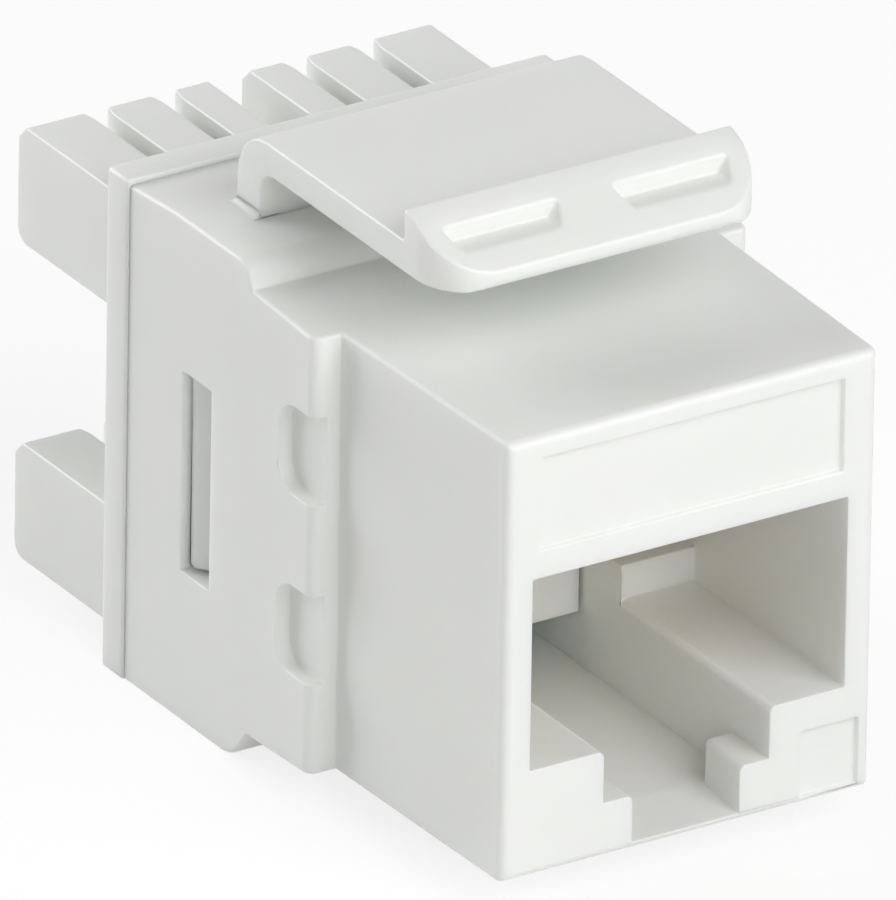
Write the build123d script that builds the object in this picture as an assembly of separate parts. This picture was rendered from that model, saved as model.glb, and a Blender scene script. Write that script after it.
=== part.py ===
from build123d import *
import math
import os

# Keystone jack with a modular plug socket in front and two rows of wire posts behind.
# Millimetres. While it is drawn, the face is at Y = 0, the cable side is at +Y, and Z = 0
# is the underside of the front body. The finished pieces are then shifted so that the
# origin is at the bottom centre of the whole jack.

# Front body, which passes through the panel
FACE_WIDTH = 14.5
FACE_HEIGHT = 16.2
FRONT_DEPTH = 10.0
FRONT_DRAFT = 0.23
FACE_ROUND = 0.35

# Body behind the panel shoulder
SHOULDER_STEP = 1.07
MIDDLE_DEPTH = 3.92
MIDDLE_FLARE = 0.15
HOUSING_LENGTH = 21.65
REAR_RISE = 1.04
REAR_DROP = 1.37
TOP_RAMP = 0.32
TOP_ROUND = 0.9
BOTTOM_RAMP = 0.85
BOTTOM_ROUND = 1.5
RIDGE_START = 18.75
RIDGE_FALL = 0.2
BODY_ROUND = 0.4
WALL = 1.2
LONG_EDGE_ROUND = 0.16

# Pockets in the sides, open to the panel shoulder
POCKET_HEIGHT = 3.25
POCKET_DEPTH = 0.55
POCKET_LENGTH = 2.16
POCKET_ROUND = 0.95
POCKET_LOW = 4.97
POCKET_HIGH = 11.6

# Windows that the rear block snaps into
WINDOW_START = 16.4
WINDOW_LENGTH = 1.8
WINDOW_HEIGHT = 7.4
WINDOW_CENTRE = 7.9

# Plug socket
MOUTH_WIDTH = 12.34
MOUTH_TOP = 11.0
LEDGE_LEVEL = 3.95
CHANNEL_WIDTH = 6.5
CHANNEL_FLOOR = 0.5
CHANNEL_LEAD_IN = 2.5
CHANNEL_LIP_LEVEL = 0.29
CATCH_TOP = 2.03
CATCH_GAP = 4.2
CATCH_LENGTH = 2.3
STOP_START = 9.3
STOP_RISE = 1.25
LINTEL_THICKNESS = 1.9
CEILING_POCKET = 2.3
SOCKET_ROUND = 0.25

# Shallow recesses in the face
LABEL_WIDTH = 11.9
LABEL_HEIGHT = 3.42
LABEL_TOP_GAP = 0.78
CORNER_PANEL_INNER = 4.48
CORNER_PANEL_WIDTH = 2.28
CORNER_PANEL_LOW = 0.25
CORNER_PANEL_HEIGHT = 2.45
RECESS_DEPTH = 0.22

# Latch arm
LATCH_WIDTH = 12.8
LATCH_RISE = 2.96
LATCH_THICKNESS = 1.17
LEG_THICKNESS = 1.5
LEG_REAR = 18.4
LEG_OUTER_ROUND = 1.8
LEG_INNER_ROUND = 0.75
FOOT_SWEEP = 0.3
LIP_REAR = 8.0
LIP_FRONT = 5.15
LIP_RISE = 1.15
LIP_SHOULDER = 0.4
LIP_NOSE = 0.5
LIP_CORNER_ROUND = 2.1
GRIP_OUTER = 5.65
GRIP_INNER = 1.0
GRIP_DEPTH = 0.93
GRIP_REAR = 6.95
GRIP_TAPER = 0.45
GRIP_SLOPE = 14

# Rear block with the wire posts
FLANGE_PROUD = 0.1
FLANGE_THICKNESS = 1.35
FLANGE_ROUND = 0.2
CAVITY_CLEARANCE = 0.1
TAB_PROUD = 1.0
TAB_LAND = 0.3
TAB_REAR_GAP = 0.12
TAB_ROUND = 0.25
TAB_END_GAP = 0.15
TAB_CLEARANCE = 0.05
CHEEK_THICKNESS = 0.6
POST_LENGTH = 6.65
POST_INSET = 0.65
POST_HEIGHT = 4.35
UPPER_ROW_INSET = 1.34
LOWER_ROW_LOW = -0.2
SLOT_WIDTH = 0.7
CENTRE_GAP = 1.6
OUTER_POST = 2.4
MIDDLE_POST = 1.95
WEB_LENGTH = 1.8
WEB_DROP = 0.5
POST_LEAD_ACROSS = 0.48
POST_LEAD_ALONG = 1.2
POST_END_CHAMFER = 0.5
POST_END_ROUND = 0.6

# Wire contacts in the rear block
BLADE_THICKNESS = 0.4
BLADE_WIDTH = 1.7
BLADE_START = 19.5
BLADE_END = 27.2
FORK_DEPTH = 3.0
FORK_GAP = 0.32
FORK_MOUTH = 0.95
FORK_LEAD = 0.7
SHANK_WIDTH = 0.9
TAIL_WIDTH = 0.6
BLADE_CLEARANCE = 0.03

# Circuit board
BOARD_START = 15.35
BOARD_THICKNESS = 1.6
BOARD_SIDE_GAP = 0.15
BOARD_LOW = 0.2
BOARD_TOP_GAP = 0.24
HOLE_CLEARANCE = 0.05

# Spring contacts in the socket
CONTACT_COUNT = 8
CONTACT_PITCH = 1.02
STRIP_WIDTH = 0.46
STRIP_THICKNESS = 0.3
RUN_LEVEL = 11.6
TAIL_STEP = 1.3
TAIL_PROUD = 0.5
TAIL_BEND = 0.6
BEND_RADIUS = 0.6
BEND_CENTRE = 3.2
ARM_ANGLE = 23.0
ARM_END = 12.6
ARM_CLEARANCE = 0.3

# Insert that carries the spring contacts
INSERT_CLEARANCE = 0.1
INSERT_START = 11.7
INSERT_LOW = 2.5
SHELF_START = 3.5
SHELF_TOP = 13.1
GROOVE_CLEARANCE = 0.03
COMB_SLOT = 0.66

# Two places nearer than this are taken as the same when edges are picked
SAME_PLACE = 0.01

# Places worked out from the sizes above
REAR_START = FRONT_DEPTH + MIDDLE_DEPTH
SHOULDER_WIDTH = FACE_WIDTH + 2 * FRONT_DRAFT
BODY_WIDTH = SHOULDER_WIDTH + 2 * SHOULDER_STEP
FLANGE_WIDTH = BODY_WIDTH + 2 * FLANGE_PROUD
REAR_TOP = FACE_HEIGHT + REAR_RISE
FLANGE_REAR = HOUSING_LENGTH + FLANGE_THICKNESS
OVERALL_LENGTH = FLANGE_REAR + POST_LENGTH
BOARD_REAR = BOARD_START + BOARD_THICKNESS
CAVITY_WIDTH = BODY_WIDTH - 2 * WALL
CAVITY_LOW = WALL - REAR_DROP
CAVITY_HIGH = REAR_TOP - WALL
STOP_TOP = LEDGE_LEVEL + STOP_RISE
BEND_LEVEL = RUN_LEVEL - BEND_RADIUS
CEILING_TOP = MOUTH_TOP + CEILING_POCKET
INSERT_REAR = BOARD_START - INSERT_CLEARANCE
ARM_SLOPE = math.radians(ARM_ANGLE)
ARM_START_Y = BEND_CENTRE - BEND_RADIUS * math.sin(ARM_SLOPE)
ARM_START_Z = BEND_LEVEL - BEND_RADIUS * math.cos(ARM_SLOPE)
ARM_END_Z = ARM_START_Z - (ARM_END - ARM_START_Y) * math.tan(ARM_SLOPE)
COMB_LOW = ARM_END_Z - STRIP_THICKNESS - ARM_CLEARANCE
COMB_REAR = BEND_CENTRE + math.hypot(ARM_END - BEND_CENTRE, BEND_LEVEL - ARM_END_Z) + ARM_CLEARANCE
BOARD_WIDTH = CAVITY_WIDTH - 2 * (CAVITY_CLEARANCE + CHEEK_THICKNESS + BOARD_SIDE_GAP)
BOARD_HIGH = CAVITY_HIGH - BOARD_TOP_GAP
LABEL_LOW = FACE_HEIGHT - LABEL_TOP_GAP - LABEL_HEIGHT
LATCH_TOP = REAR_TOP + LATCH_RISE
LIP_TOP = LATCH_TOP + LIP_RISE
UNDERSIDE = LATCH_TOP - LATCH_THICKNESS
LEG_FRONT = LEG_REAR - LEG_THICKNESS
POST_ROW_WIDTH = FLANGE_WIDTH - 2 * POST_INSET
SLOT_OUTER = POST_ROW_WIDTH / 2 - OUTER_POST - SLOT_WIDTH / 2
SLOT_INNER = SLOT_OUTER - SLOT_WIDTH - MIDDLE_POST
SLOT_PLACES = [-SLOT_OUTER, -SLOT_INNER, SLOT_INNER, SLOT_OUTER]
UPPER_ROW_LOW = REAR_TOP - UPPER_ROW_INSET - POST_HEIGHT
ROWS = {"upper": UPPER_ROW_LOW, "lower": LOWER_ROW_LOW}
CONTACT_PLACES = [(i - (CONTACT_COUNT - 1) / 2) * CONTACT_PITCH for i in range(CONTACT_COUNT)]
TO_ORIGIN = Pos(0, -OVERALL_LENGTH / 2, REAR_DROP)


def block(x, y, z):
    """A block between the low and high value along each axis."""
    size = [high - low for low, high in (x, y, z)]
    middle = [(high + low) / 2 for low, high in (x, y, z)]
    return Pos(*middle) * Box(*size)


def across(half):
    """The span from -half to half."""
    return (-half, half)


def side_profile(*curves):
    """A face in the YZ plane from curves whose points are (y, z)."""
    return Plane.YZ * make_face(curves)


def plan_outline(points):
    """A face in the XY plane from points (x, y)."""
    return Plane.XY * make_face(Polyline(*points, close=True))


def housing_shell():
    """The outside of the housing: the plan outline met by the side profile."""
    face, shoulder, body = FACE_WIDTH / 2, SHOULDER_WIDTH / 2, BODY_WIDTH / 2
    plan = plan_outline(
        [
            (-face, 0), (face, 0), (shoulder, FRONT_DEPTH), (body, FRONT_DEPTH),
            (body, HOUSING_LENGTH), (-body, HOUSING_LENGTH), (-body, FRONT_DEPTH),
            (-shoulder, FRONT_DEPTH),
        ]
    )
    corners = [plan.vertices().sort_by_distance((x, FRONT_DEPTH, 0))[0] for x in (-body, body)]
    plan = fillet(corners, BODY_ROUND)
    flare_start = FRONT_DEPTH + BODY_ROUND
    top_step, bottom_step = (REAR_START + TOP_RAMP, REAR_TOP), (REAR_START + BOTTOM_RAMP, -REAR_DROP)
    profile = side_profile(
        Polyline(
            (0, 0), (0, FACE_HEIGHT), (flare_start, FACE_HEIGHT),
            (REAR_START, FACE_HEIGHT + MIDDLE_FLARE), top_step, (RIDGE_START, REAR_TOP),
            (HOUSING_LENGTH, REAR_TOP - RIDGE_FALL), (HOUSING_LENGTH, -REAR_DROP), bottom_step,
            (REAR_START, -MIDDLE_FLARE), (flare_start, 0),
            close=True,
        )
    )
    for step, radius in ((top_step, TOP_ROUND), (bottom_step, BOTTOM_ROUND)):
        profile = fillet(profile.vertices().sort_by_distance((0, *step))[0], radius)
    tall = REAR_TOP + REAR_DROP
    solid = extrude(plan, tall, both=True) & extrude(profile, BODY_WIDTH, both=True)
    front_edges = solid.edges().filter_by(
        lambda edge: abs(edge.center().X) > face and edge.center().Y < FRONT_DEPTH - BODY_ROUND
        and edge.center().Y > SAME_PLACE
    )
    solid = fillet(front_edges, LONG_EDGE_ROUND)
    solid = fillet(solid.faces().sort_by(Axis.Y)[0].edges(), FACE_ROUND)
    side_edges = solid.edges().filter_by(lambda edge: abs(edge.center().X) > body - SAME_PLACE)
    return fillet(side_edges.filter_by(Axis.Z, reverse=True), LONG_EDGE_ROUND)


def socket_space():
    """The space for the plug: mouth, tab channel and the room above the contacts."""
    mouth = block(across(MOUTH_WIDTH / 2), (0, BOARD_START), (LEDGE_LEVEL, MOUTH_TOP))
    ceiling = block(
        across(MOUTH_WIDTH / 2), (LINTEL_THICKNESS, BOARD_START), (MOUTH_TOP, CEILING_TOP)
    )
    ramp = side_profile(
        Polyline(
            (0, CHANNEL_LIP_LEVEL), (CHANNEL_LEAD_IN, CHANNEL_FLOOR),
            (BOARD_START, CHANNEL_FLOOR), (BOARD_START, LEDGE_LEVEL), (0, LEDGE_LEVEL),
            close=True,
        )
    )
    channel = extrude(ramp, CHANNEL_WIDTH / 2, both=True)
    space = mouth + ceiling + channel
    for side in (-1, 1):
        catch = side_block(side, CATCH_GAP / 2, CHANNEL_WIDTH / 2, (0, CATCH_LENGTH), (0, CATCH_TOP))
        stop = side_block(
            side, CHANNEL_WIDTH / 2, MOUTH_WIDTH / 2, (STOP_START, BOARD_START), (LEDGE_LEVEL, STOP_TOP)
        )
        space -= catch + stop
    return space


def round_socket(solid):
    """Rounds the edges of the rails and catches, which the plug slides past."""
    rail, catch = CHANNEL_WIDTH / 2, CATCH_GAP / 2
    along = solid.edges().filter_by(Axis.Y).filter_by(
        lambda edge: any(
            math.hypot(abs(edge.center().X) - x, edge.center().Z - z) < SAME_PLACE
            for x, z in ((rail, LEDGE_LEVEL), (catch, CATCH_TOP))
        )
    )
    upright = solid.edges().filter_by(Axis.Z).filter_by(
        lambda edge: math.hypot(abs(edge.center().X) - catch, edge.center().Y - CATCH_LENGTH) < SAME_PLACE
    )
    return fillet(along + upright, SOCKET_ROUND)


def side_block(side, inner, outer, y, z):
    """A block on one side, from inner to outer away from the middle plane."""
    return block(tuple(sorted((side * inner, side * outer))), y, z)


def side_pocket(side, centre):
    """A pocket in one side wall, rounded behind and open to the panel shoulder."""
    low, high = centre - POCKET_HEIGHT / 2, centre + POCKET_HEIGHT / 2
    rear = FRONT_DEPTH + POCKET_LENGTH
    outline = side_profile(
        Polyline((FRONT_DEPTH - 1, low), (rear, low), (rear, high), (FRONT_DEPTH - 1, high), close=True)
    )
    outline = fillet(outline.vertices().sort_by(Axis.Y)[-2:], POCKET_ROUND)
    bottom = BODY_WIDTH / 2 - POCKET_DEPTH
    return extrude(Pos(side * bottom, 0, 0) * outline, side * (POCKET_DEPTH + 1))


def foot_sweep():
    """The small hollow sweep behind the latch leg and at its ends, where it meets the housing."""
    half, reach = LATCH_WIDTH / 2, 2 * FOOT_SWEEP
    foot = block(across(half), (LEG_FRONT, LEG_REAR), (REAR_TOP, REAR_TOP + reach))
    base = block(across(half + reach), (LEG_FRONT, LEG_REAR + reach), (REAR_TOP - reach, REAR_TOP))
    solid = base + foot
    inner_edges = solid.edges().filter_by(
        lambda edge: abs(edge.center().Z - REAR_TOP) < SAME_PLACE
        and abs(edge.center().X) < half + SAME_PLACE
        and LEG_FRONT + SAME_PLACE < edge.center().Y < LEG_REAR + SAME_PLACE
    )
    return fillet(inner_edges, FOOT_SWEEP) - foot - base


def make_housing():
    """The front moulding, without its latch arm."""
    solid = round_socket(housing_shell() - socket_space())
    solid -= block(
        across(CAVITY_WIDTH / 2), (BOARD_START, HOUSING_LENGTH), (CAVITY_LOW, CAVITY_HIGH)
    )
    window_y = (WINDOW_START, WINDOW_START + WINDOW_LENGTH)
    window_z = (WINDOW_CENTRE - WINDOW_HEIGHT / 2, WINDOW_CENTRE + WINDOW_HEIGHT / 2)
    solid -= block(across(BODY_WIDTH), window_y, window_z)
    for side in (-1, 1):
        for centre in (POCKET_LOW, POCKET_HIGH):
            solid -= side_pocket(side, centre)
    solid -= block(across(LABEL_WIDTH / 2), (0, RECESS_DEPTH), (LABEL_LOW, LABEL_LOW + LABEL_HEIGHT))
    solid -= block(
        (CORNER_PANEL_INNER, CORNER_PANEL_INNER + CORNER_PANEL_WIDTH),
        (0, RECESS_DEPTH),
        (CORNER_PANEL_LOW, CORNER_PANEL_LOW + CORNER_PANEL_HEIGHT),
    )
    return solid + foot_sweep()


def grip_notch(side):
    """A finger grip cut into the lip: upright behind, with a floor that falls towards the front."""
    centre, width = side * (GRIP_OUTER + GRIP_INNER) / 2, GRIP_OUTER - GRIP_INNER
    slope = math.radians(GRIP_SLOPE)
    floor = Plane(
        (centre, GRIP_REAR, LIP_TOP - GRIP_DEPTH),
        x_dir=(1, 0, 0),
        z_dir=(0, -math.sin(slope), math.cos(slope)),
    )
    top = Plane((centre, GRIP_REAR, LIP_TOP))
    front = Align.MAX
    upper = top * Rectangle(width, GRIP_REAR, align=(Align.CENTER, front))
    lower = floor * Rectangle(
        width - 2 * GRIP_TAPER, GRIP_REAR / math.cos(slope), align=(Align.CENTER, front)
    )
    return loft([upper, lower])


def make_latch():
    """The latch arm: a leg, a flat arm reaching forward and a rounded lip with finger grips."""
    outline = side_profile(
        Polyline(
            (LIP_REAR, LIP_TOP), (LIP_REAR, LATCH_TOP), (LEG_REAR, LATCH_TOP),
            (LEG_REAR, REAR_TOP), (LEG_FRONT, REAR_TOP), (LEG_FRONT, UNDERSIDE),
            (LIP_FRONT + LIP_NOSE, UNDERSIDE),
        ),
        ThreePointArc(
            (LIP_FRONT + LIP_NOSE, UNDERSIDE),
            (LIP_FRONT + LIP_NOSE * (1 - math.sqrt(0.5)), UNDERSIDE + LIP_NOSE * (1 - math.sqrt(0.5))),
            (LIP_FRONT, UNDERSIDE + LIP_NOSE),
        ),
        Bezier(
            (LIP_FRONT, UNDERSIDE + LIP_NOSE), (LIP_FRONT, LIP_TOP - LIP_SHOULDER), (LIP_REAR, LIP_TOP)
        ),
    )
    outer_corner = outline.vertices().sort_by_distance((0, LEG_REAR, LATCH_TOP))[0]
    outline = fillet(outer_corner, LEG_OUTER_ROUND)
    inner_corner = outline.vertices().sort_by_distance((0, LEG_FRONT, UNDERSIDE))[0]
    outline = fillet(inner_corner, LEG_INNER_ROUND)
    solid = extrude(outline, LATCH_WIDTH / 2, both=True)
    half = LATCH_WIDTH / 2
    plan = plan_outline(
        [(-half, LIP_FRONT), (half, LIP_FRONT), (half, LEG_REAR), (-half, LEG_REAR)]
    )
    plan = fillet(plan.vertices().sort_by(Axis.Y)[:2], LIP_CORNER_ROUND)
    solid &= extrude(Pos(0, 0, REAR_TOP) * plan, LIP_TOP)
    for side in (-1, 1):
        solid -= grip_notch(side)
    return solid


def post_spans():
    """Where each post of a row starts and ends across the block, and which sides face a slot."""
    inner, outer = CENTRE_GAP / 2, POST_ROW_WIDTH / 2
    right = [
        (inner, SLOT_INNER - SLOT_WIDTH / 2, False, True),
        (SLOT_INNER + SLOT_WIDTH / 2, SLOT_OUTER - SLOT_WIDTH / 2, True, True),
        (SLOT_OUTER + SLOT_WIDTH / 2, outer, True, False),
    ]
    left = [(-high, -low, lead_high, lead_low) for low, high, lead_low, lead_high in right]
    return left + right


def make_post(low, high, lead_low, lead_high, level):
    """One post with lead-ins beside the slots, and an end that is bevelled above and rounded below."""
    end = FLANGE_REAR + POST_LENGTH
    plan = plan_outline([(low, FLANGE_REAR), (low, end), (high, end), (high, FLANGE_REAR)])
    if lead_low:
        plan -= lead_in(low, 1, end)
    if lead_high:
        plan -= lead_in(high, -1, end)
    solid = extrude(Pos(0, 0, level) * plan, POST_HEIGHT)
    upper = solid.faces().sort_by(Axis.Y)[-1].edges().filter_by(Axis.X).sort_by(Axis.Z)[-1]
    solid = chamfer(upper, POST_END_CHAMFER)
    lower = solid.faces().sort_by(Axis.Y)[-1].edges().filter_by(Axis.X).sort_by(Axis.Z)[0]
    return fillet(lower, POST_END_ROUND)


def lead_in(edge, inward, end):
    """The corner taken off a post beside a slot, so that a wire finds its way in."""
    across_end, along_end = edge + inward * POST_LEAD_ACROSS, end - POST_LEAD_ALONG
    curve = Bezier((across_end, end), (edge, end - POST_LEAD_ACROSS), (edge, along_end))
    return Plane.XY * make_face(curve + Polyline((edge, along_end), (edge, end), (across_end, end)))


def snap_tab(side):
    """The ramped tab that catches behind the rear edge of a side window."""
    inner = CAVITY_WIDTH / 2 - CAVITY_CLEARANCE
    rear = WINDOW_START + WINDOW_LENGTH - TAB_REAR_GAP
    front = WINDOW_START + TAB_CLEARANCE
    ridge = inner + TAB_PROUD
    half = WINDOW_HEIGHT / 2 - TAB_END_GAP
    plan = plan_outline(
        [(inner, front), (ridge, rear - TAB_LAND), (ridge, rear), (inner, rear)]
    )
    plan = fillet(plan.vertices().sort_by_distance((ridge, rear - TAB_LAND))[0], TAB_ROUND)
    solid = extrude(Pos(0, 0, WINDOW_CENTRE) * plan, half, both=True)
    rear_face = solid.faces().sort_by(Axis.Y)[-1]
    solid = fillet(rear_face.edges().filter_by(Axis.X).sort_by(Axis.Z)[0], TAB_ROUND)
    return solid if side > 0 else mirror(solid, Plane.YZ)


def make_idc_block():
    """The rear block: flange, two rows of posts and the part that snaps into the housing."""
    front = BOARD_REAR + TAB_CLEARANCE
    inner = CAVITY_WIDTH / 2 - CAVITY_CLEARANCE
    low, high = CAVITY_LOW + CAVITY_CLEARANCE, CAVITY_HIGH - CAVITY_CLEARANCE
    solid = block(across(FLANGE_WIDTH / 2), (HOUSING_LENGTH, FLANGE_REAR), (-REAR_DROP, REAR_TOP))
    solid = fillet(solid.edges().filter_by(Axis.Y), LONG_EDGE_ROUND)
    solid = fillet(solid.faces().sort_by(Axis.Y)[-1].edges(), FLANGE_ROUND)
    solid += block(across(inner), (front, HOUSING_LENGTH), (low, high))
    for side in (-1, 1):
        cheek_y = (WINDOW_START + TAB_CLEARANCE, HOUSING_LENGTH)
        solid += side_block(side, inner - CHEEK_THICKNESS, inner, cheek_y, (low, high))
        solid += snap_tab(side)
    for level in ROWS.values():
        for low_x, high_x, lead_low, lead_high in post_spans():
            solid += make_post(low_x, high_x, lead_low, lead_high, level)
        web_low = level + WEB_DROP
        solid += block(
            across(CENTRE_GAP / 2), (FLANGE_REAR, FLANGE_REAR + WEB_LENGTH),
            (web_low, level + POST_HEIGHT - WEB_DROP),
        )
        for place in SLOT_PLACES:
            solid -= blade_pocket(place, level + POST_HEIGHT / 2)
    tails = CONTACT_PLACES[-1] + STRIP_WIDTH
    tail_room = (front, front + TAIL_PROUD + TAB_CLEARANCE)
    return solid - block(across(tails), tail_room, (tail_level(1) - STRIP_WIDTH, RUN_LEVEL + STRIP_WIDTH))


def blade_pocket(place, level):
    """The room for one wire contact in the rear block."""
    half = BLADE_THICKNESS / 2 + BLADE_CLEARANCE
    z = (level - half, level + half)
    wide = BLADE_WIDTH / 2 + BLADE_CLEARANCE
    narrow = SHANK_WIDTH / 2 + BLADE_CLEARANCE
    body = block((place - wide, place + wide), (BLADE_START, BLADE_END + BLADE_CLEARANCE), z)
    shank = block((place - narrow, place + narrow), (BOARD_REAR, BLADE_START), z)
    return body + shank


def make_wire_contact(place, level):
    """A flat contact with a tail in the board and a fork that cuts into the wire."""
    wide, narrow, tail = BLADE_WIDTH / 2, SHANK_WIDTH / 2, TAIL_WIDTH / 2
    gap, mouth = FORK_GAP / 2, FORK_MOUTH / 2
    root = BLADE_END - FORK_DEPTH
    shank_start = BOARD_REAR + TAB_CLEARANCE
    half = [
        (0, BOARD_START), (tail, BOARD_START), (tail, shank_start), (narrow, shank_start),
        (narrow, BLADE_START), (wide, BLADE_START), (wide, BLADE_END), (mouth, BLADE_END),
        (gap, BLADE_END - FORK_LEAD), (gap, root), (0, root),
    ]
    flat = plan_outline(half)
    flat += mirror(flat, Plane.YZ)
    return extrude(Pos(place, 0, level) * flat, BLADE_THICKNESS / 2, both=True)


def tail_level(index):
    """Every other contact drops to a second row of holes in the board."""
    return RUN_LEVEL if index % 2 == 0 else RUN_LEVEL - TAIL_STEP


def make_board():
    """The circuit board, with a hole for each contact's tail."""
    board = block(across(BOARD_WIDTH / 2), (BOARD_START, BOARD_REAR), (BOARD_LOW, BOARD_HIGH))
    for index, place in enumerate(CONTACT_PLACES):
        board -= board_hole(place, tail_level(index), STRIP_WIDTH, STRIP_THICKNESS)
    for level in ROWS.values():
        for place in SLOT_PLACES:
            board -= board_hole(place, level + POST_HEIGHT / 2, TAIL_WIDTH, BLADE_THICKNESS)
    return board


def board_hole(place, level, width, height):
    """The hole in the board round one tail."""
    half_x, half_z = width / 2 + HOLE_CLEARANCE, height / 2 + HOLE_CLEARANCE
    thick = (BOARD_START, BOARD_REAR)
    return block((place - half_x, place + half_x), thick, (level - half_z, level + half_z))


def strip_along(path, place):
    """A flat strip bent along a path whose points are (y, z)."""
    side = Plane.YZ * trace(path, STRIP_THICKNESS)
    return extrude(Pos(place, 0, 0) * side, STRIP_WIDTH / 2, both=True)


def make_contact_run(index, place):
    """The fixed run of one spring contact, from the board to the bend behind the lintel."""
    start = (BOARD_REAR + TAIL_PROUD, tail_level(index))
    end = (BEND_CENTRE, RUN_LEVEL)
    if index % 2 == 0:
        return strip_along(Line(start, end), place)
    low = (INSERT_REAR - TAIL_BEND, tail_level(index))
    high = (INSERT_REAR - TAIL_BEND, RUN_LEVEL)
    return strip_along(FilletPolyline(start, low, high, end, radius=TAIL_BEND), place)


def make_contact_arm(place):
    """The sprung arm of one contact: the bend and the straight part down to the comb."""
    front = (BEND_CENTRE - BEND_RADIUS, BEND_LEVEL)
    leave = (ARM_START_Y, ARM_START_Z)
    bend = ThreePointArc((BEND_CENTRE, RUN_LEVEL), front, leave)
    return strip_along([bend, Line(leave, (ARM_END, ARM_END_Z))], place)


def make_insert():
    """The insert: a shelf that holds the contact runs and a comb that guides the arms."""
    stop_clear = STOP_TOP + INSERT_CLEARANCE
    wide = MOUTH_WIDTH / 2 - INSERT_CLEARANCE
    narrow = CHANNEL_WIDTH / 2 - INSERT_CLEARANCE
    shelf_low = MOUTH_TOP
    solid = block(across(wide), (SHELF_START, INSERT_REAR), (shelf_low, SHELF_TOP))
    solid += block(across(wide), (INSERT_START, INSERT_REAR), (stop_clear, shelf_low))
    solid += block(across(narrow), (INSERT_START, INSERT_REAR), (INSERT_LOW, stop_clear))
    half_width = STRIP_WIDTH / 2 + GROOVE_CLEARANCE
    half_height = STRIP_THICKNESS / 2 + GROOVE_CLEARANCE
    groove_top = RUN_LEVEL + half_height
    for index, place in enumerate(CONTACT_PLACES):
        groove_x = (place - half_width, place + half_width)
        solid -= block(groove_x, (SHELF_START, INSERT_REAR), (RUN_LEVEL - half_height, groove_top))
        solid -= block(groove_x, (SHELF_START, INSERT_START), (shelf_low, RUN_LEVEL))
        if index % 2:
            rear_y = (INSERT_REAR - 2 * TAIL_BEND, INSERT_REAR)
            solid -= block(groove_x, rear_y, (tail_level(index) - half_height, groove_top))
        slot_x = (place - COMB_SLOT / 2, place + COMB_SLOT / 2)
        solid -= block(slot_x, (INSERT_START, COMB_REAR), (COMB_LOW, shelf_low))
    return solid


def make_parts():
    """Every piece of the jack by name."""
    parts = {
        "housing": make_housing(),
        "latch": make_latch(),
        "idc_block": make_idc_block(),
        "contact_insert": make_insert(),
        "circuit_board": make_board(),
    }
    for index, place in enumerate(CONTACT_PLACES):
        parts[f"contact_run_{index + 1}"] = make_contact_run(index, place)
        parts[f"contact_arm_{index + 1}"] = make_contact_arm(place)
    for row, level in ROWS.items():
        for number, place in enumerate(SLOT_PLACES, start=1):
            parts[f"wire_contact_{row}_{number}"] = make_wire_contact(place, level + POST_HEIGHT / 2)
    return parts


os.makedirs("parts", exist_ok=True)
for name, solid in make_parts().items():
    export_step(TO_ORIGIN * solid, f"parts/{name}.step")
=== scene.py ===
"""The looks of a keystone network jack: white moulded ABS, gilt spring contacts and tinned wire forks."""

import logging
import math
from collections.abc import Iterable
from dataclasses import dataclass, field
from enum import Enum

import bmesh
import bpy
from mathutils import Matrix, Vector
from mathutils.bvhtree import BVHTree


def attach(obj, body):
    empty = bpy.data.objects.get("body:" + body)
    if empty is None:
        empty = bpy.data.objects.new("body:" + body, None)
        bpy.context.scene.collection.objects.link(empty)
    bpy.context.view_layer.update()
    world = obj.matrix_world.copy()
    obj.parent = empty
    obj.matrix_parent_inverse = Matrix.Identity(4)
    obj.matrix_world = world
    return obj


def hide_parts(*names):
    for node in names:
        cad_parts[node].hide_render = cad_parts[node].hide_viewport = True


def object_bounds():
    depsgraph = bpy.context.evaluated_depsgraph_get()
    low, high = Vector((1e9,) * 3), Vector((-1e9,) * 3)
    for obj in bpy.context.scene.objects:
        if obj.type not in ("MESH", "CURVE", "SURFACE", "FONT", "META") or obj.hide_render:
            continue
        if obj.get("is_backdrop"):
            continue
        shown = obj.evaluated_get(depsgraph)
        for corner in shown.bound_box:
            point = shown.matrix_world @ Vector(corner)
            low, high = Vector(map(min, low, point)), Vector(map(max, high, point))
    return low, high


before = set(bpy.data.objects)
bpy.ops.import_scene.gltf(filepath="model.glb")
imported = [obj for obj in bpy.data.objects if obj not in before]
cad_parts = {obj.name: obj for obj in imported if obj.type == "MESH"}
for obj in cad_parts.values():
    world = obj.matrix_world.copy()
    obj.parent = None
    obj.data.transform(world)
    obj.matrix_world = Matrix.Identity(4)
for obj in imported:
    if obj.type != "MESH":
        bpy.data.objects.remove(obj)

LOG = logging.getLogger("jack")
MM = 0.001
WHITE = "FFFFFF"


def linear(code: str) -> tuple[float, float, float, float]:
    """Turns an sRGB hex colour such as "F2F1EC" into linear values with an alpha of 1.

    Args:
        code: six hex digits.

    Returns:
        Red, green, blue and alpha, from 0 to 1.
    """
    values = (int(code[i:i + 2], 16) / 255 for i in (0, 2, 4))
    red, green, blue = (v / 12.92 if v <= 0.04045 else ((v + 0.055) / 1.055) ** 2.4 for v in values)
    return red, green, blue, 1.0


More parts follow.
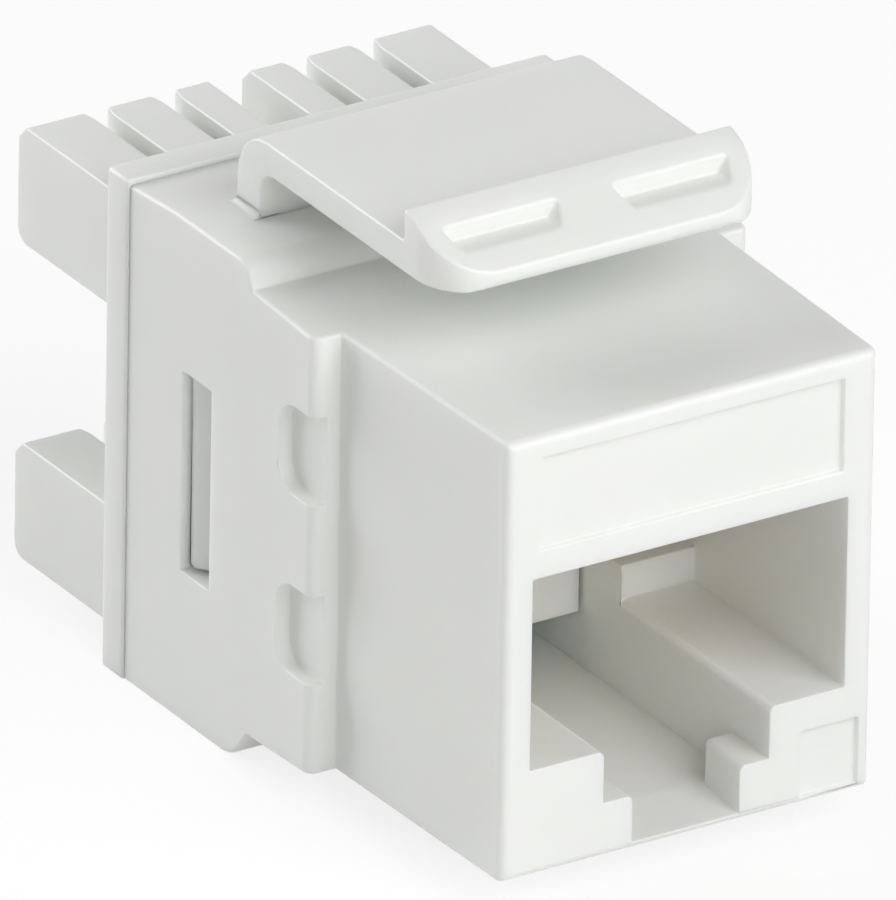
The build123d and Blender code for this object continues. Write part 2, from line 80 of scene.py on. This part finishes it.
def add_node(
    tree: bpy.types.NodeTree, kind: str, inputs: dict | None = None, **settings: object
) -> bpy.types.Node:
    """Adds one shader node with its settings, values and links.

    Args:
        tree: the material's or world's node tree.
        kind: the node's type, without its ShaderNode prefix.
        inputs: socket names or numbers, each with a value or with the socket that feeds it.
        settings: the node's own properties.

    Returns:
        The new node.
    """
    node = tree.nodes.new("ShaderNode" + kind)
    for name, value in settings.items():
        setattr(node, name, value)
    for name, value in (inputs or {}).items():
        if isinstance(value, bpy.types.NodeSocket):
            tree.links.new(value, node.inputs[name])
        else:
            node.inputs[name].default_value = value
    return node


def new_material(name: str) -> tuple[bpy.types.Material, bpy.types.NodeTree]:
    """Makes a material with an empty node tree.

    Args:
        name: the material's name.

    Returns:
        The material and its tree.
    """
    material = bpy.data.materials.new(name)
    material.use_nodes = True
    material.node_tree.nodes.clear()
    return material, material.node_tree


def noise(
    tree: bpy.types.NodeTree, place: bpy.types.NodeSocket, size_mm: float, detail: float
) -> bpy.types.NodeSocket:
    """Adds a noise pattern.

    Args:
        tree: the material's node tree.
        place: the coordinates that it is laid out in, in metres.
        size_mm: the size of its patches.
        detail: how many finer layers it has.

    Returns:
        Its value, from 0 to 1.
    """
    inputs = {"Vector": place, "Scale": 1 / (size_mm * MM), "Detail": detail}
    return add_node(tree, "TexNoise", inputs).outputs["Fac"]


def blend(
    tree: bpy.types.NodeTree, share: bpy.types.NodeSocket, first: str, second: str
) -> bpy.types.NodeSocket:
    """Mixes two sRGB hex colours by a share from 0 to 1 and returns the mixed colour."""
    inputs = {"Factor": share, 6: linear(first), 7: linear(second)}
    return add_node(tree, "Mix", inputs, data_type="RGBA").outputs[2]


def spread(
    tree: bpy.types.NodeTree, share: bpy.types.NodeSocket, low: float, high: float
) -> bpy.types.NodeSocket:
    """Stretches a share from 0 to 1 over the span from low to high and returns the value."""
    inputs = {"Value": share, "To Min": low, "To Max": high}
    return add_node(tree, "MapRange", inputs).outputs["Result"]


def relief(tree: bpy.types.NodeTree, height: bpy.types.NodeSocket, depth_mm: float) -> bpy.types.NodeSocket:
    """Turns a height pattern into a surface's normals and returns them."""
    inputs = {"Height": height, "Distance": depth_mm * MM, "Strength": 1.0}
    return add_node(tree, "Bump", inputs).outputs["Normal"]


def direction(azimuth: float, elevation: float) -> Vector:
    """Returns the unit vector of a heading, in degrees, from the jack: azimuth 0 is in front of it."""
    turn, rise = math.radians(azimuth), math.radians(elevation)
    return Vector((math.sin(turn) * math.cos(rise), -math.cos(turn) * math.cos(rise), math.sin(rise)))


@dataclass(frozen=True)
class MouldedAbs:
    """Injection-moulded white ABS from a polished tool: smooth, half glossy and a little cloudy inside."""

    name: str = "white_abs"
    colour: str = "F6F8F5"
    cloud_colour: str = "F2F4F1"
    roughness: tuple[float, float] = (0.28, 0.36)
    cloud_mm: float = 5.0
    sheen_patch_mm: float = 1.4
    skin_grain_mm: float = 0.16
    skin_grain_depth_mm: float = 0.0016
    ior: float = 1.53
    scatter_mm: float = 0.9
    scatter_weight: float = 0.5
    scatter_by_colour: tuple[float, float, float] = (1.0, 0.95, 0.85)

    def build(self) -> bpy.types.Material:
        """Makes and returns the material."""
        material, tree = new_material(self.name)
        place = add_node(tree, "TexCoord").outputs["Object"]
        cloud = noise(tree, place, self.cloud_mm, detail=2.0)
        patches = noise(tree, place, self.sheen_patch_mm, detail=3.0)
        grain = noise(tree, place, self.skin_grain_mm, detail=3.0)
        shader = add_node(
            tree, "BsdfPrincipled",
            {
                "Base Color": blend(tree, cloud, self.colour, self.cloud_colour),
                "Roughness": spread(tree, patches, *self.roughness),
                "Normal": relief(tree, grain, self.skin_grain_depth_mm),
                "IOR": self.ior,
                "Subsurface Weight": self.scatter_weight,
                "Subsurface Scale": self.scatter_mm * MM,
                "Subsurface Radius": self.scatter_by_colour,
            },
        )
        add_node(tree, "OutputMaterial", {"Surface": shader.outputs["BSDF"]})
        return material


@dataclass(frozen=True)
class PlatedMetal:
    """Thin stamped metal with a bright plated skin, drawn along its length."""

    name: str
    colour: str
    worn_colour: str
    roughness: tuple[float, float]
    patch_mm: float = 0.8
    drawn_line_mm: float = 0.05
    line_depth_mm: float = 0.0012
    drawn_stretch: tuple[float, float, float] = (1.0, 0.05, 0.05)

    def build(self) -> bpy.types.Material:
        """Makes and returns the material."""
        material, tree = new_material(self.name)
        place = add_node(tree, "TexCoord").outputs["Object"]
        patches = noise(tree, place, self.patch_mm, detail=4.0)
        drawn = add_node(tree, "Mapping", {"Vector": place, "Scale": self.drawn_stretch})
        lines = noise(tree, drawn.outputs["Vector"], self.drawn_line_mm, detail=2.0)
        shader = add_node(
            tree, "BsdfPrincipled",
            {
                "Base Color": blend(tree, patches, self.colour, self.worn_colour),
                "Roughness": spread(tree, patches, *self.roughness),
                "Normal": relief(tree, lines, self.line_depth_mm),
                "Metallic": 1.0,
            },
        )
        add_node(tree, "OutputMaterial", {"Surface": shader.outputs["BSDF"]})
        return material


@dataclass(frozen=True)
class BoardLaminate:
    """Glass and epoxy laminate under green solder resist, with the weave just showing."""

    name: str = "board_laminate"
    resist: str = "2E6B45"
    resist_deep: str = "245A39"
    weave_mm: float = 0.5
    weave_depth_mm: float = 0.004
    weave_randomness: float = 0.2
    roughness: float = 0.38
    ior: float = 1.55

    def build(self) -> bpy.types.Material:
        """Makes and returns the material."""
        material, tree = new_material(self.name)
        place = add_node(tree, "TexCoord").outputs["Object"]
        cells = add_node(
            tree, "TexVoronoi",
            {"Vector": place, "Scale": 1 / (self.weave_mm * MM), "Randomness": self.weave_randomness},
        )
        weave = cells.outputs["Distance"]
        shader = add_node(
            tree, "BsdfPrincipled",
            {
                "Base Color": blend(tree, weave, self.resist, self.resist_deep),
                "Roughness": self.roughness,
                "Normal": relief(tree, weave, self.weave_depth_mm),
                "IOR": self.ior,
            },
        )
        add_node(tree, "OutputMaterial", {"Surface": shader.outputs["BSDF"]})
        return material


class Finish(Enum):
    """The finishes that the jack's pieces are made in."""

    PLASTIC = MouldedAbs()
    GILT = PlatedMetal("gold_plate", "E9C46A", "DDB458", (0.16, 0.26))
    TINNED = PlatedMetal("bright_tin", "CFD0CE", "BDBFBE", (0.28, 0.4))
    BOARD = BoardLaminate()


@dataclass
class Dresser:
    """Puts finishes on pieces, and makes each finish only once."""

    made: dict[Finish, bpy.types.Material] = field(default_factory=dict)

    def dress(self, piece: bpy.types.Object, finish: Finish) -> None:
        """Gives every material slot of a piece one finish.

        Args:
            piece: a mesh object.
            finish: the finish that it gets.
        """
        if finish not in self.made:
            self.made[finish] = finish.value.build()
        if not piece.material_slots:
            piece.data.materials.append(self.made[finish])
        for slot in piece.material_slots:
            slot.material = self.made[finish]


@dataclass(frozen=True)
class EdgeRounding:
    """Breaks the sharp edges of a solid, as a real tool or press leaves them."""

    radius_mm: float
    segments: int = 3
    weld_mm: float = 0.015
    flat_degrees: float = 0.5
    sharp_degrees: float = 32.0
    touch_mm: float = 0.02
    large_face_share: int = 100

    def join_triangles(self, piece: bpy.types.Object) -> None:
        """Adds the modifiers that join a solid's loose triangles into flat faces.

        Args:
            piece: a mesh object.
        """
        weld = piece.modifiers.new("weld", "WELD")
        weld.merge_threshold = self.weld_mm * MM
        flat = piece.modifiers.new("flat faces", "DECIMATE")
        flat.decimate_type = "DISSOLVE"
        flat.angle_limit = math.radians(self.flat_degrees)

    def round_off(self, piece: bpy.types.Object, marked: bool = False) -> None:
        """Adds the modifiers that round a solid's edges and shade it.

        Args:
            piece: the piece, its faces joined.
            marked: whether only edges with a bevel weight are rounded, not all sharp ones.
        """
        bevel = piece.modifiers.new("broken edges", "BEVEL")
        bevel.width = self.radius_mm * MM
        bevel.segments = self.segments
        bevel.limit_method = "WEIGHT" if marked else "ANGLE"
        bevel.angle_limit = math.radians(self.sharp_degrees)
        bevel.use_clamp_overlap = False
        bevel.miter_outer = "MITER_ARC"
        shade = piece.modifiers.new("shading", "WEIGHTED_NORMAL")
        shade.keep_sharp = marked
        shade.weight = self.large_face_share

    def mark_free_edges(self, form: bmesh.types.BMesh, neighbours: Iterable[BVHTree]) -> None:
        """Marks each sharp edge to be rounded, or to stay sharp where it lies on a neighbour.

        Args:
            form: the piece's mesh, its faces joined.
            neighbours: the surfaces of the pieces that it may lie against.
        """
        weight = form.edges.layers.float.new("bevel_weight_edge")
        for edge in form.edges:
            if len(edge.link_faces) != 2 or edge.calc_face_angle() < math.radians(self.sharp_degrees):
                continue
            start, end = (vert.co for vert in edge.verts)
            places = (start, (start + end) / 2, end)
            held = any(
                all(surface.find_nearest(place, self.touch_mm * MM)[0] is not None for place in places)
                for surface in neighbours
            )
            edge[weight] = 0.0 if held else 1.0
            edge.smooth = not held


@dataclass
class PhotoCamera:
    """The photograph's camera, from a fit of the jack's corners, in millimetres and degrees."""

    aim: tuple[float, float, float] = (0.0, -2.825, 9.37)
    azimuth: float = -32.495
    elevation: float = 26.176
    roll: float = 0.957
    distance: float = 1350.0
    pixels_per_mm: float = 29.994
    picture_height: int = 900
    aim_right: float = 1.636
    aim_up: float = -1.057
    sensor: float = 36.0
    clip_metres: tuple[float, float] = (0.01, 10.0)

    def place(self) -> None:
        """Makes the camera and hands it to the scene."""
        back = direction(self.azimuth, self.elevation)
        level = Vector((0.0, 0.0, 1.0)).cross(back).normalized()
        turn = Matrix.Rotation(math.radians(self.roll), 3, back)
        right = turn @ level
        up = back.cross(right)
        data = bpy.data.cameras.new("photo_camera")
        data.sensor_width = self.sensor
        data.lens = self.pixels_per_mm * self.distance * self.sensor / self.picture_height
        data.clip_start, data.clip_end = self.clip_metres
        camera = bpy.data.objects.new("photo_camera", data)
        bpy.context.scene.collection.objects.link(camera)
        axes = Matrix((right, up, back)).transposed().to_4x4()
        spot = Vector(self.aim) - self.aim_right * right - self.aim_up * up + self.distance * back
        camera.matrix_world = Matrix.Translation(spot * MM) @ axes
        bpy.context.scene.camera = camera


@dataclass(frozen=True)
class Lamp:
    """One square soft box, aimed at the jack. Its azimuth and elevation are in degrees."""

    name: str
    azimuth: float
    elevation: float
    watts: float
    side_mm: float = 220.0
    away_mm: float = 320.0
    colour: str = WHITE


@dataclass
class Studio:
    """A pale floor, a white surround and soft boxes at a plain level."""

    floor_side_mm: float = 6000.0
    floor_colour: str = "E9E9E8"
    floor_mottle_colour: str = "EDEDEC"
    floor_mottle_per_metre: float = 8.0
    surround_strength: float = 0.2
    floor_glow: float = 0.8
    floor_share: float = 0.24
    lamps: tuple[Lamp, ...] = (
        Lamp("key_box", 20.0, 35.0, 0.43),
        Lamp("front_box", -10.0, 20.0, 0.25),
        Lamp("high_box", 0.0, 52.0, 0.1),
        Lamp("rear_box", -150.0, 20.0, 0.6),
    )

    def seen_directly(self, tree: bpy.types.NodeTree) -> bpy.types.NodeSocket:
        """Tells rays that look at something from rays that carry light.

        Args:
            tree: a material's or the world's node tree.

        Returns:
            A value that is 1 for rays from the eye, a mirror or a lens, and 0 for others.
        """
        path = add_node(tree, "LightPath").outputs
        seen = path["Is Camera Ray"]
        for ray in ("Is Glossy Ray", "Is Transmission Ray"):
            seen = add_node(tree, "Math", {0: seen, 1: path[ray]}, operation="MAXIMUM").outputs[0]
        return seen

    def build_world(self) -> None:
        """Makes the white surround."""
        world = bpy.data.worlds.new("surround")
        bpy.context.scene.world = world
        world.use_nodes = True
        tree = world.node_tree
        tree.nodes.clear()
        strength = spread(tree, self.seen_directly(tree), self.surround_strength, 1.0)
        light = add_node(tree, "Background", {"Color": linear(WHITE), "Strength": strength})
        add_node(tree, "OutputWorld", {"Surface": light.outputs["Background"]})

    def build_floor(self) -> None:
        """Makes the floor, which looks white and still shows a faint shadow."""
        material, tree = new_material("pale_floor")
        place = add_node(tree, "TexCoord").outputs["Object"]
        mottle = add_node(tree, "TexNoise", {"Vector": place, "Scale": self.floor_mottle_per_metre})
        tone = blend(tree, mottle.outputs["Fac"], self.floor_colour, self.floor_mottle_colour)
        shadowed = add_node(tree, "BsdfDiffuse", {"Color": (self.floor_share,) * 3 + (1.0,)})
        glow = add_node(tree, "Emission", {"Color": linear(WHITE), "Strength": self.floor_glow})
        shown = add_node(tree, "AddShader", {0: shadowed.outputs["BSDF"], 1: glow.outputs["Emission"]})
        lit = add_node(tree, "BsdfDiffuse", {"Color": tone})
        surface = add_node(
            tree, "MixShader",
            {"Fac": self.seen_directly(tree), 1: lit.outputs["BSDF"], 2: shown.outputs["Shader"]},
        )
        add_node(tree, "OutputMaterial", {"Surface": surface.outputs["Shader"]})
        bpy.ops.mesh.primitive_plane_add(size=self.floor_side_mm * MM)
        floor = bpy.context.object
        floor.name = "floor"
        floor.data.materials.append(material)
        floor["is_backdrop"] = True

    def hang_lamps(self, aim: Vector) -> None:
        """Hangs the soft boxes round a point.

        Args:
            aim: the point that they face, in metres.
        """
        for lamp in self.lamps:
            out = direction(lamp.azimuth, lamp.elevation)
            data = bpy.data.lights.new(lamp.name, "AREA")
            data.shape, data.size, data.energy = "SQUARE", lamp.side_mm * MM, lamp.watts
            data.color = linear(lamp.colour)[:3]
            box = bpy.data.objects.new(lamp.name, data)
            bpy.context.scene.collection.objects.link(box)
            box.location = aim + out * lamp.away_mm * MM
            box.rotation_mode = "QUATERNION"
            box.rotation_quaternion = (-out).to_track_quat("-Z", "Y")


def nodes_named(start: str) -> list[bpy.types.Object]:
    """Returns the CAD nodes whose names start with some text."""
    return [piece for name, piece in sorted(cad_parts.items()) if name.startswith(start)]


def surface_of(piece: bpy.types.Object) -> BVHTree:
    """Returns a piece's surface, to measure distances to."""
    mesh = piece.data
    places = [vert.co for vert in mesh.vertices]
    return BVHTree.FromPolygons(places, [face.vertices for face in mesh.polygons])


def combined(base: bmesh.types.BMesh, tool: bmesh.types.BMesh, operation: str) -> bmesh.types.BMesh:
    """Cuts one closed form with another, or keeps what they share.

    Args:
        base: the form that is cut. It is used up.
        tool: the form that cuts. It is used up.
        operation: DIFFERENCE or INTERSECT.

    Returns:
        The new form.
    """
    pieces = []
    for form in (base, tool):
        mesh = bpy.data.meshes.new("blank")
        form.to_mesh(mesh)
        form.free()
        piece = bpy.data.objects.new("blank", mesh)
        bpy.context.scene.collection.objects.link(piece)
        pieces.append(piece)
    cut = pieces[0].modifiers.new("cut", "BOOLEAN")
    cut.operation, cut.solver, cut.object = operation, "EXACT", pieces[1]
    result = bmesh.new()
    result.from_object(pieces[0], bpy.context.evaluated_depsgraph_get())
    for piece in pieces:
        mesh = piece.data
        bpy.data.objects.remove(piece)
        bpy.data.meshes.remove(mesh)
    return result


def prism(
    corners: Iterable[tuple[float, float, float, float]], sweep: Vector, segments: int
) -> bmesh.types.BMesh:
    """Draws a flat outline, rounds its corners and pulls it out into a solid.

    Args:
        corners: each corner's place and how far along its edges its rounding reaches, in millimetres.
        sweep: how far the outline is pulled, in millimetres.
        segments: the segments of each rounding.

    Returns:
        The closed solid, in metres.
    """
    form = bmesh.new()
    rows = list(corners)
    verts = [form.verts.new(Vector(row[:3]) * MM) for row in rows]
    form.faces.new(verts)
    for vert, row in zip(verts, rows):
        if row[3]:
            bmesh.ops.bevel(
                form, geom=[vert], offset=row[3] * MM, affect="VERTICES", segments=segments, profile=0.5,
                material=-1,
            )
    pulled = bmesh.ops.extrude_face_region(form, geom=form.faces[:])["geom"]
    moved = [item for item in pulled if isinstance(item, bmesh.types.BMVert)]
    bmesh.ops.translate(form, vec=sweep * MM, verts=moved)
    bmesh.ops.recalc_face_normals(form, faces=form.faces)
    return form


@dataclass(frozen=True)
class LatchArm:
    """The latch arm, in millimetres: a leg, a flat arm and a sloping lip with two finger grips."""

    half_width: float = 6.4
    foot: float = 18.61
    underside: float = 20.4
    top: float = 21.57
    lip_top: float = 22.72
    leg_rear: float = 3.575
    leg_front: float = 2.075
    lip_rear: float = -6.825
    lip_front: float = -9.675
    brow: tuple[float, float] = (-7.35, 22.57)
    chin: float = 21.1
    leg_rounds: tuple[float, float] = (1.8, 0.75)
    brow_round: float = 0.35
    nose_round: float = 0.5
    plan_round: float = 2.1
    grip_span: tuple[float, float] = (1.0, 5.65)
    grip_rear: float = -7.865
    grip_floor: float = 21.64
    grip_height: float = 1.3
    grip_taper: float = 0.4
    side_segments: int = 5
    plan_segments: int = 8
    spare: float = 1.0

    def side(self) -> bmesh.types.BMesh:
        """Makes and returns the arm from its side outline."""
        outline = (
            (self.leg_rear, self.foot, 0.0),
            (self.leg_rear, self.top, self.leg_rounds[0]),
            (self.lip_rear, self.top, 0.0),
            (self.lip_rear, self.lip_top, 0.0),
            (*self.brow, self.brow_round),
            (self.lip_front, self.chin, 0.0),
            (self.lip_front, self.underside, self.nose_round),
            (self.leg_front, self.underside, self.leg_rounds[1]),
            (self.leg_front, self.foot, 0.0),
        )
        rows = ((-self.half_width, along, up, reach) for along, up, reach in outline)
        return prism(rows, Vector((2 * self.half_width, 0, 0)), self.side_segments)

    def plan(self) -> bmesh.types.BMesh:
        """Makes and returns the upright block that rounds the lip's corners as seen from above."""
        half, base = self.half_width, self.foot - self.spare
        rows = (
            (half, self.lip_front, base, self.plan_round),
            (half, self.leg_rear, base, 0.0),
            (-half, self.leg_rear, base, 0.0),
            (-half, self.lip_front, base, self.plan_round),
        )
        return prism(rows, Vector((0, 0, self.lip_top - base + self.spare)), self.plan_segments)

    def grip(self, side: int) -> bmesh.types.BMesh:
        """Makes the wedge that cuts one finger grip, upright behind and narrower below than above.

        Args:
            side: -1 for the left grip, 1 for the right.

        Returns:
            The wedge, which reaches past the lip in front and above.
        """
        inner, outer = self.grip_span
        form = bmesh.new()
        bmesh.ops.create_cube(form, size=1.0)
        for vert in form.verts:
            taper = self.grip_taper if vert.co.z < 0 else -self.grip_taper
            reach = (outer - inner) / 2 - taper
            vert.co = Vector((
                side * (inner + outer) / 2 + math.copysign(reach, vert.co.x),
                self.grip_rear if vert.co.y > 0 else self.lip_front - self.spare,
                self.grip_floor if vert.co.z < 0 else self.grip_floor + self.grip_height,
            )) * MM
        return form

    def build(self) -> bmesh.types.BMesh:
        """Makes and returns the whole arm as one closed form."""
        form = combined(self.side(), self.plan(), "INTERSECT")
        for side in (-1, 1):
            form = combined(form, self.grip(side), "DIFFERENCE")
        return form


@dataclass(frozen=True)
class Moulding:
    """One white moulding, with edges as soft as its tool leaves them."""

    node: str
    body: str
    edges: EdgeRounding
    against: tuple[str, ...]
    shape: LatchArm | None = None

    def copied(self) -> bmesh.types.BMesh:
        """Returns a copy of the node's mesh."""
        form = bmesh.new()
        form.from_mesh(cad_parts[self.node].data)
        return form

    def build(self) -> bpy.types.Object:
        """Makes and returns the moulding, which stands for its node and moves with its body."""
        form = self.shape.build() if self.shape else self.copied()
        bmesh.ops.remove_doubles(form, verts=form.verts, dist=self.edges.weld_mm * MM)
        bmesh.ops.dissolve_limit(
            form, angle_limit=math.radians(self.edges.flat_degrees), verts=form.verts, edges=form.edges
        )
        for edge in form.edges:
            edge.smooth = True
        self.edges.mark_free_edges(form, [surface_of(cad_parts[name]) for name in self.against])
        for face in form.faces:
            face.smooth = True
        mesh = bpy.data.meshes.new(self.node + "_moulding")
        form.to_mesh(mesh)
        form.free()
        piece = bpy.data.objects.new(mesh.name, mesh)
        bpy.context.scene.collection.objects.link(piece)
        self.edges.round_off(piece, marked=True)
        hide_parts(self.node)
        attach(piece, self.body)
        return piece


@dataclass
class Mouldings:
    """The white mouldings: housing, latch arm, rear block and contact insert."""

    shown: tuple[Moulding, ...] = (
        Moulding("housing", "housing", EdgeRounding(0.045), ("idc_block", "latch")),
        Moulding("latch", "latch", EdgeRounding(0.1), ("housing",), LatchArm()),
        Moulding("idc_block", "housing", EdgeRounding(0.08), ("housing",)),
    )
    insert_rounding: EdgeRounding = EdgeRounding(0.06)

    def build(self, dresser: Dresser) -> None:
        """Makes each moulding and gives it its finish.

        Args:
            dresser: what puts the finishes on.
        """
        for moulding in self.shown:
            dresser.dress(moulding.build(), Finish.PLASTIC)
            LOG.info("moulding %s", moulding.node)
        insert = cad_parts["contact_insert"]
        self.insert_rounding.join_triangles(insert)
        self.insert_rounding.round_off(insert)
        dresser.dress(insert, Finish.PLASTIC)
        LOG.info("contact insert")


@dataclass
class Metalwork:
    """The spring contacts, the wire forks and the board that carries them."""

    strip_rounding: EdgeRounding = EdgeRounding(0.05, segments=2)
    fork_rounding: EdgeRounding = EdgeRounding(0.04, segments=2)

    def dress(self, dresser: Dresser) -> None:
        """Rounds the edges of each contact and gives contacts and board their finishes.

        Args:
            dresser: what puts the finishes on.
        """
        for piece in nodes_named("contact_run") + nodes_named("contact_arm"):
            self.strip_rounding.join_triangles(piece)
            self.strip_rounding.round_off(piece)
            dresser.dress(piece, Finish.GILT)
        for piece in nodes_named("wire_contact"):
            self.fork_rounding.join_triangles(piece)
            self.fork_rounding.round_off(piece)
            dresser.dress(piece, Finish.TINNED)
        dresser.dress(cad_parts["circuit_board"], Finish.BOARD)
        LOG.info("contacts, forks and board")


def main() -> None:
    """Builds the studio and dresses the jack."""
    logging.basicConfig(level=logging.INFO, format="%(message)s")
    cad_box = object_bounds()
    bpy.context.scene.view_settings.view_transform = "Standard"
    PhotoCamera().place()
    studio = Studio()
    studio.build_world()
    studio.build_floor()
    studio.hang_lamps((cad_box[0] + cad_box[1]) / 2)
    dresser = Dresser()
    Mouldings().build(dresser)
    Metalwork().dress(dresser)


if __name__ == "__main__":
    main()
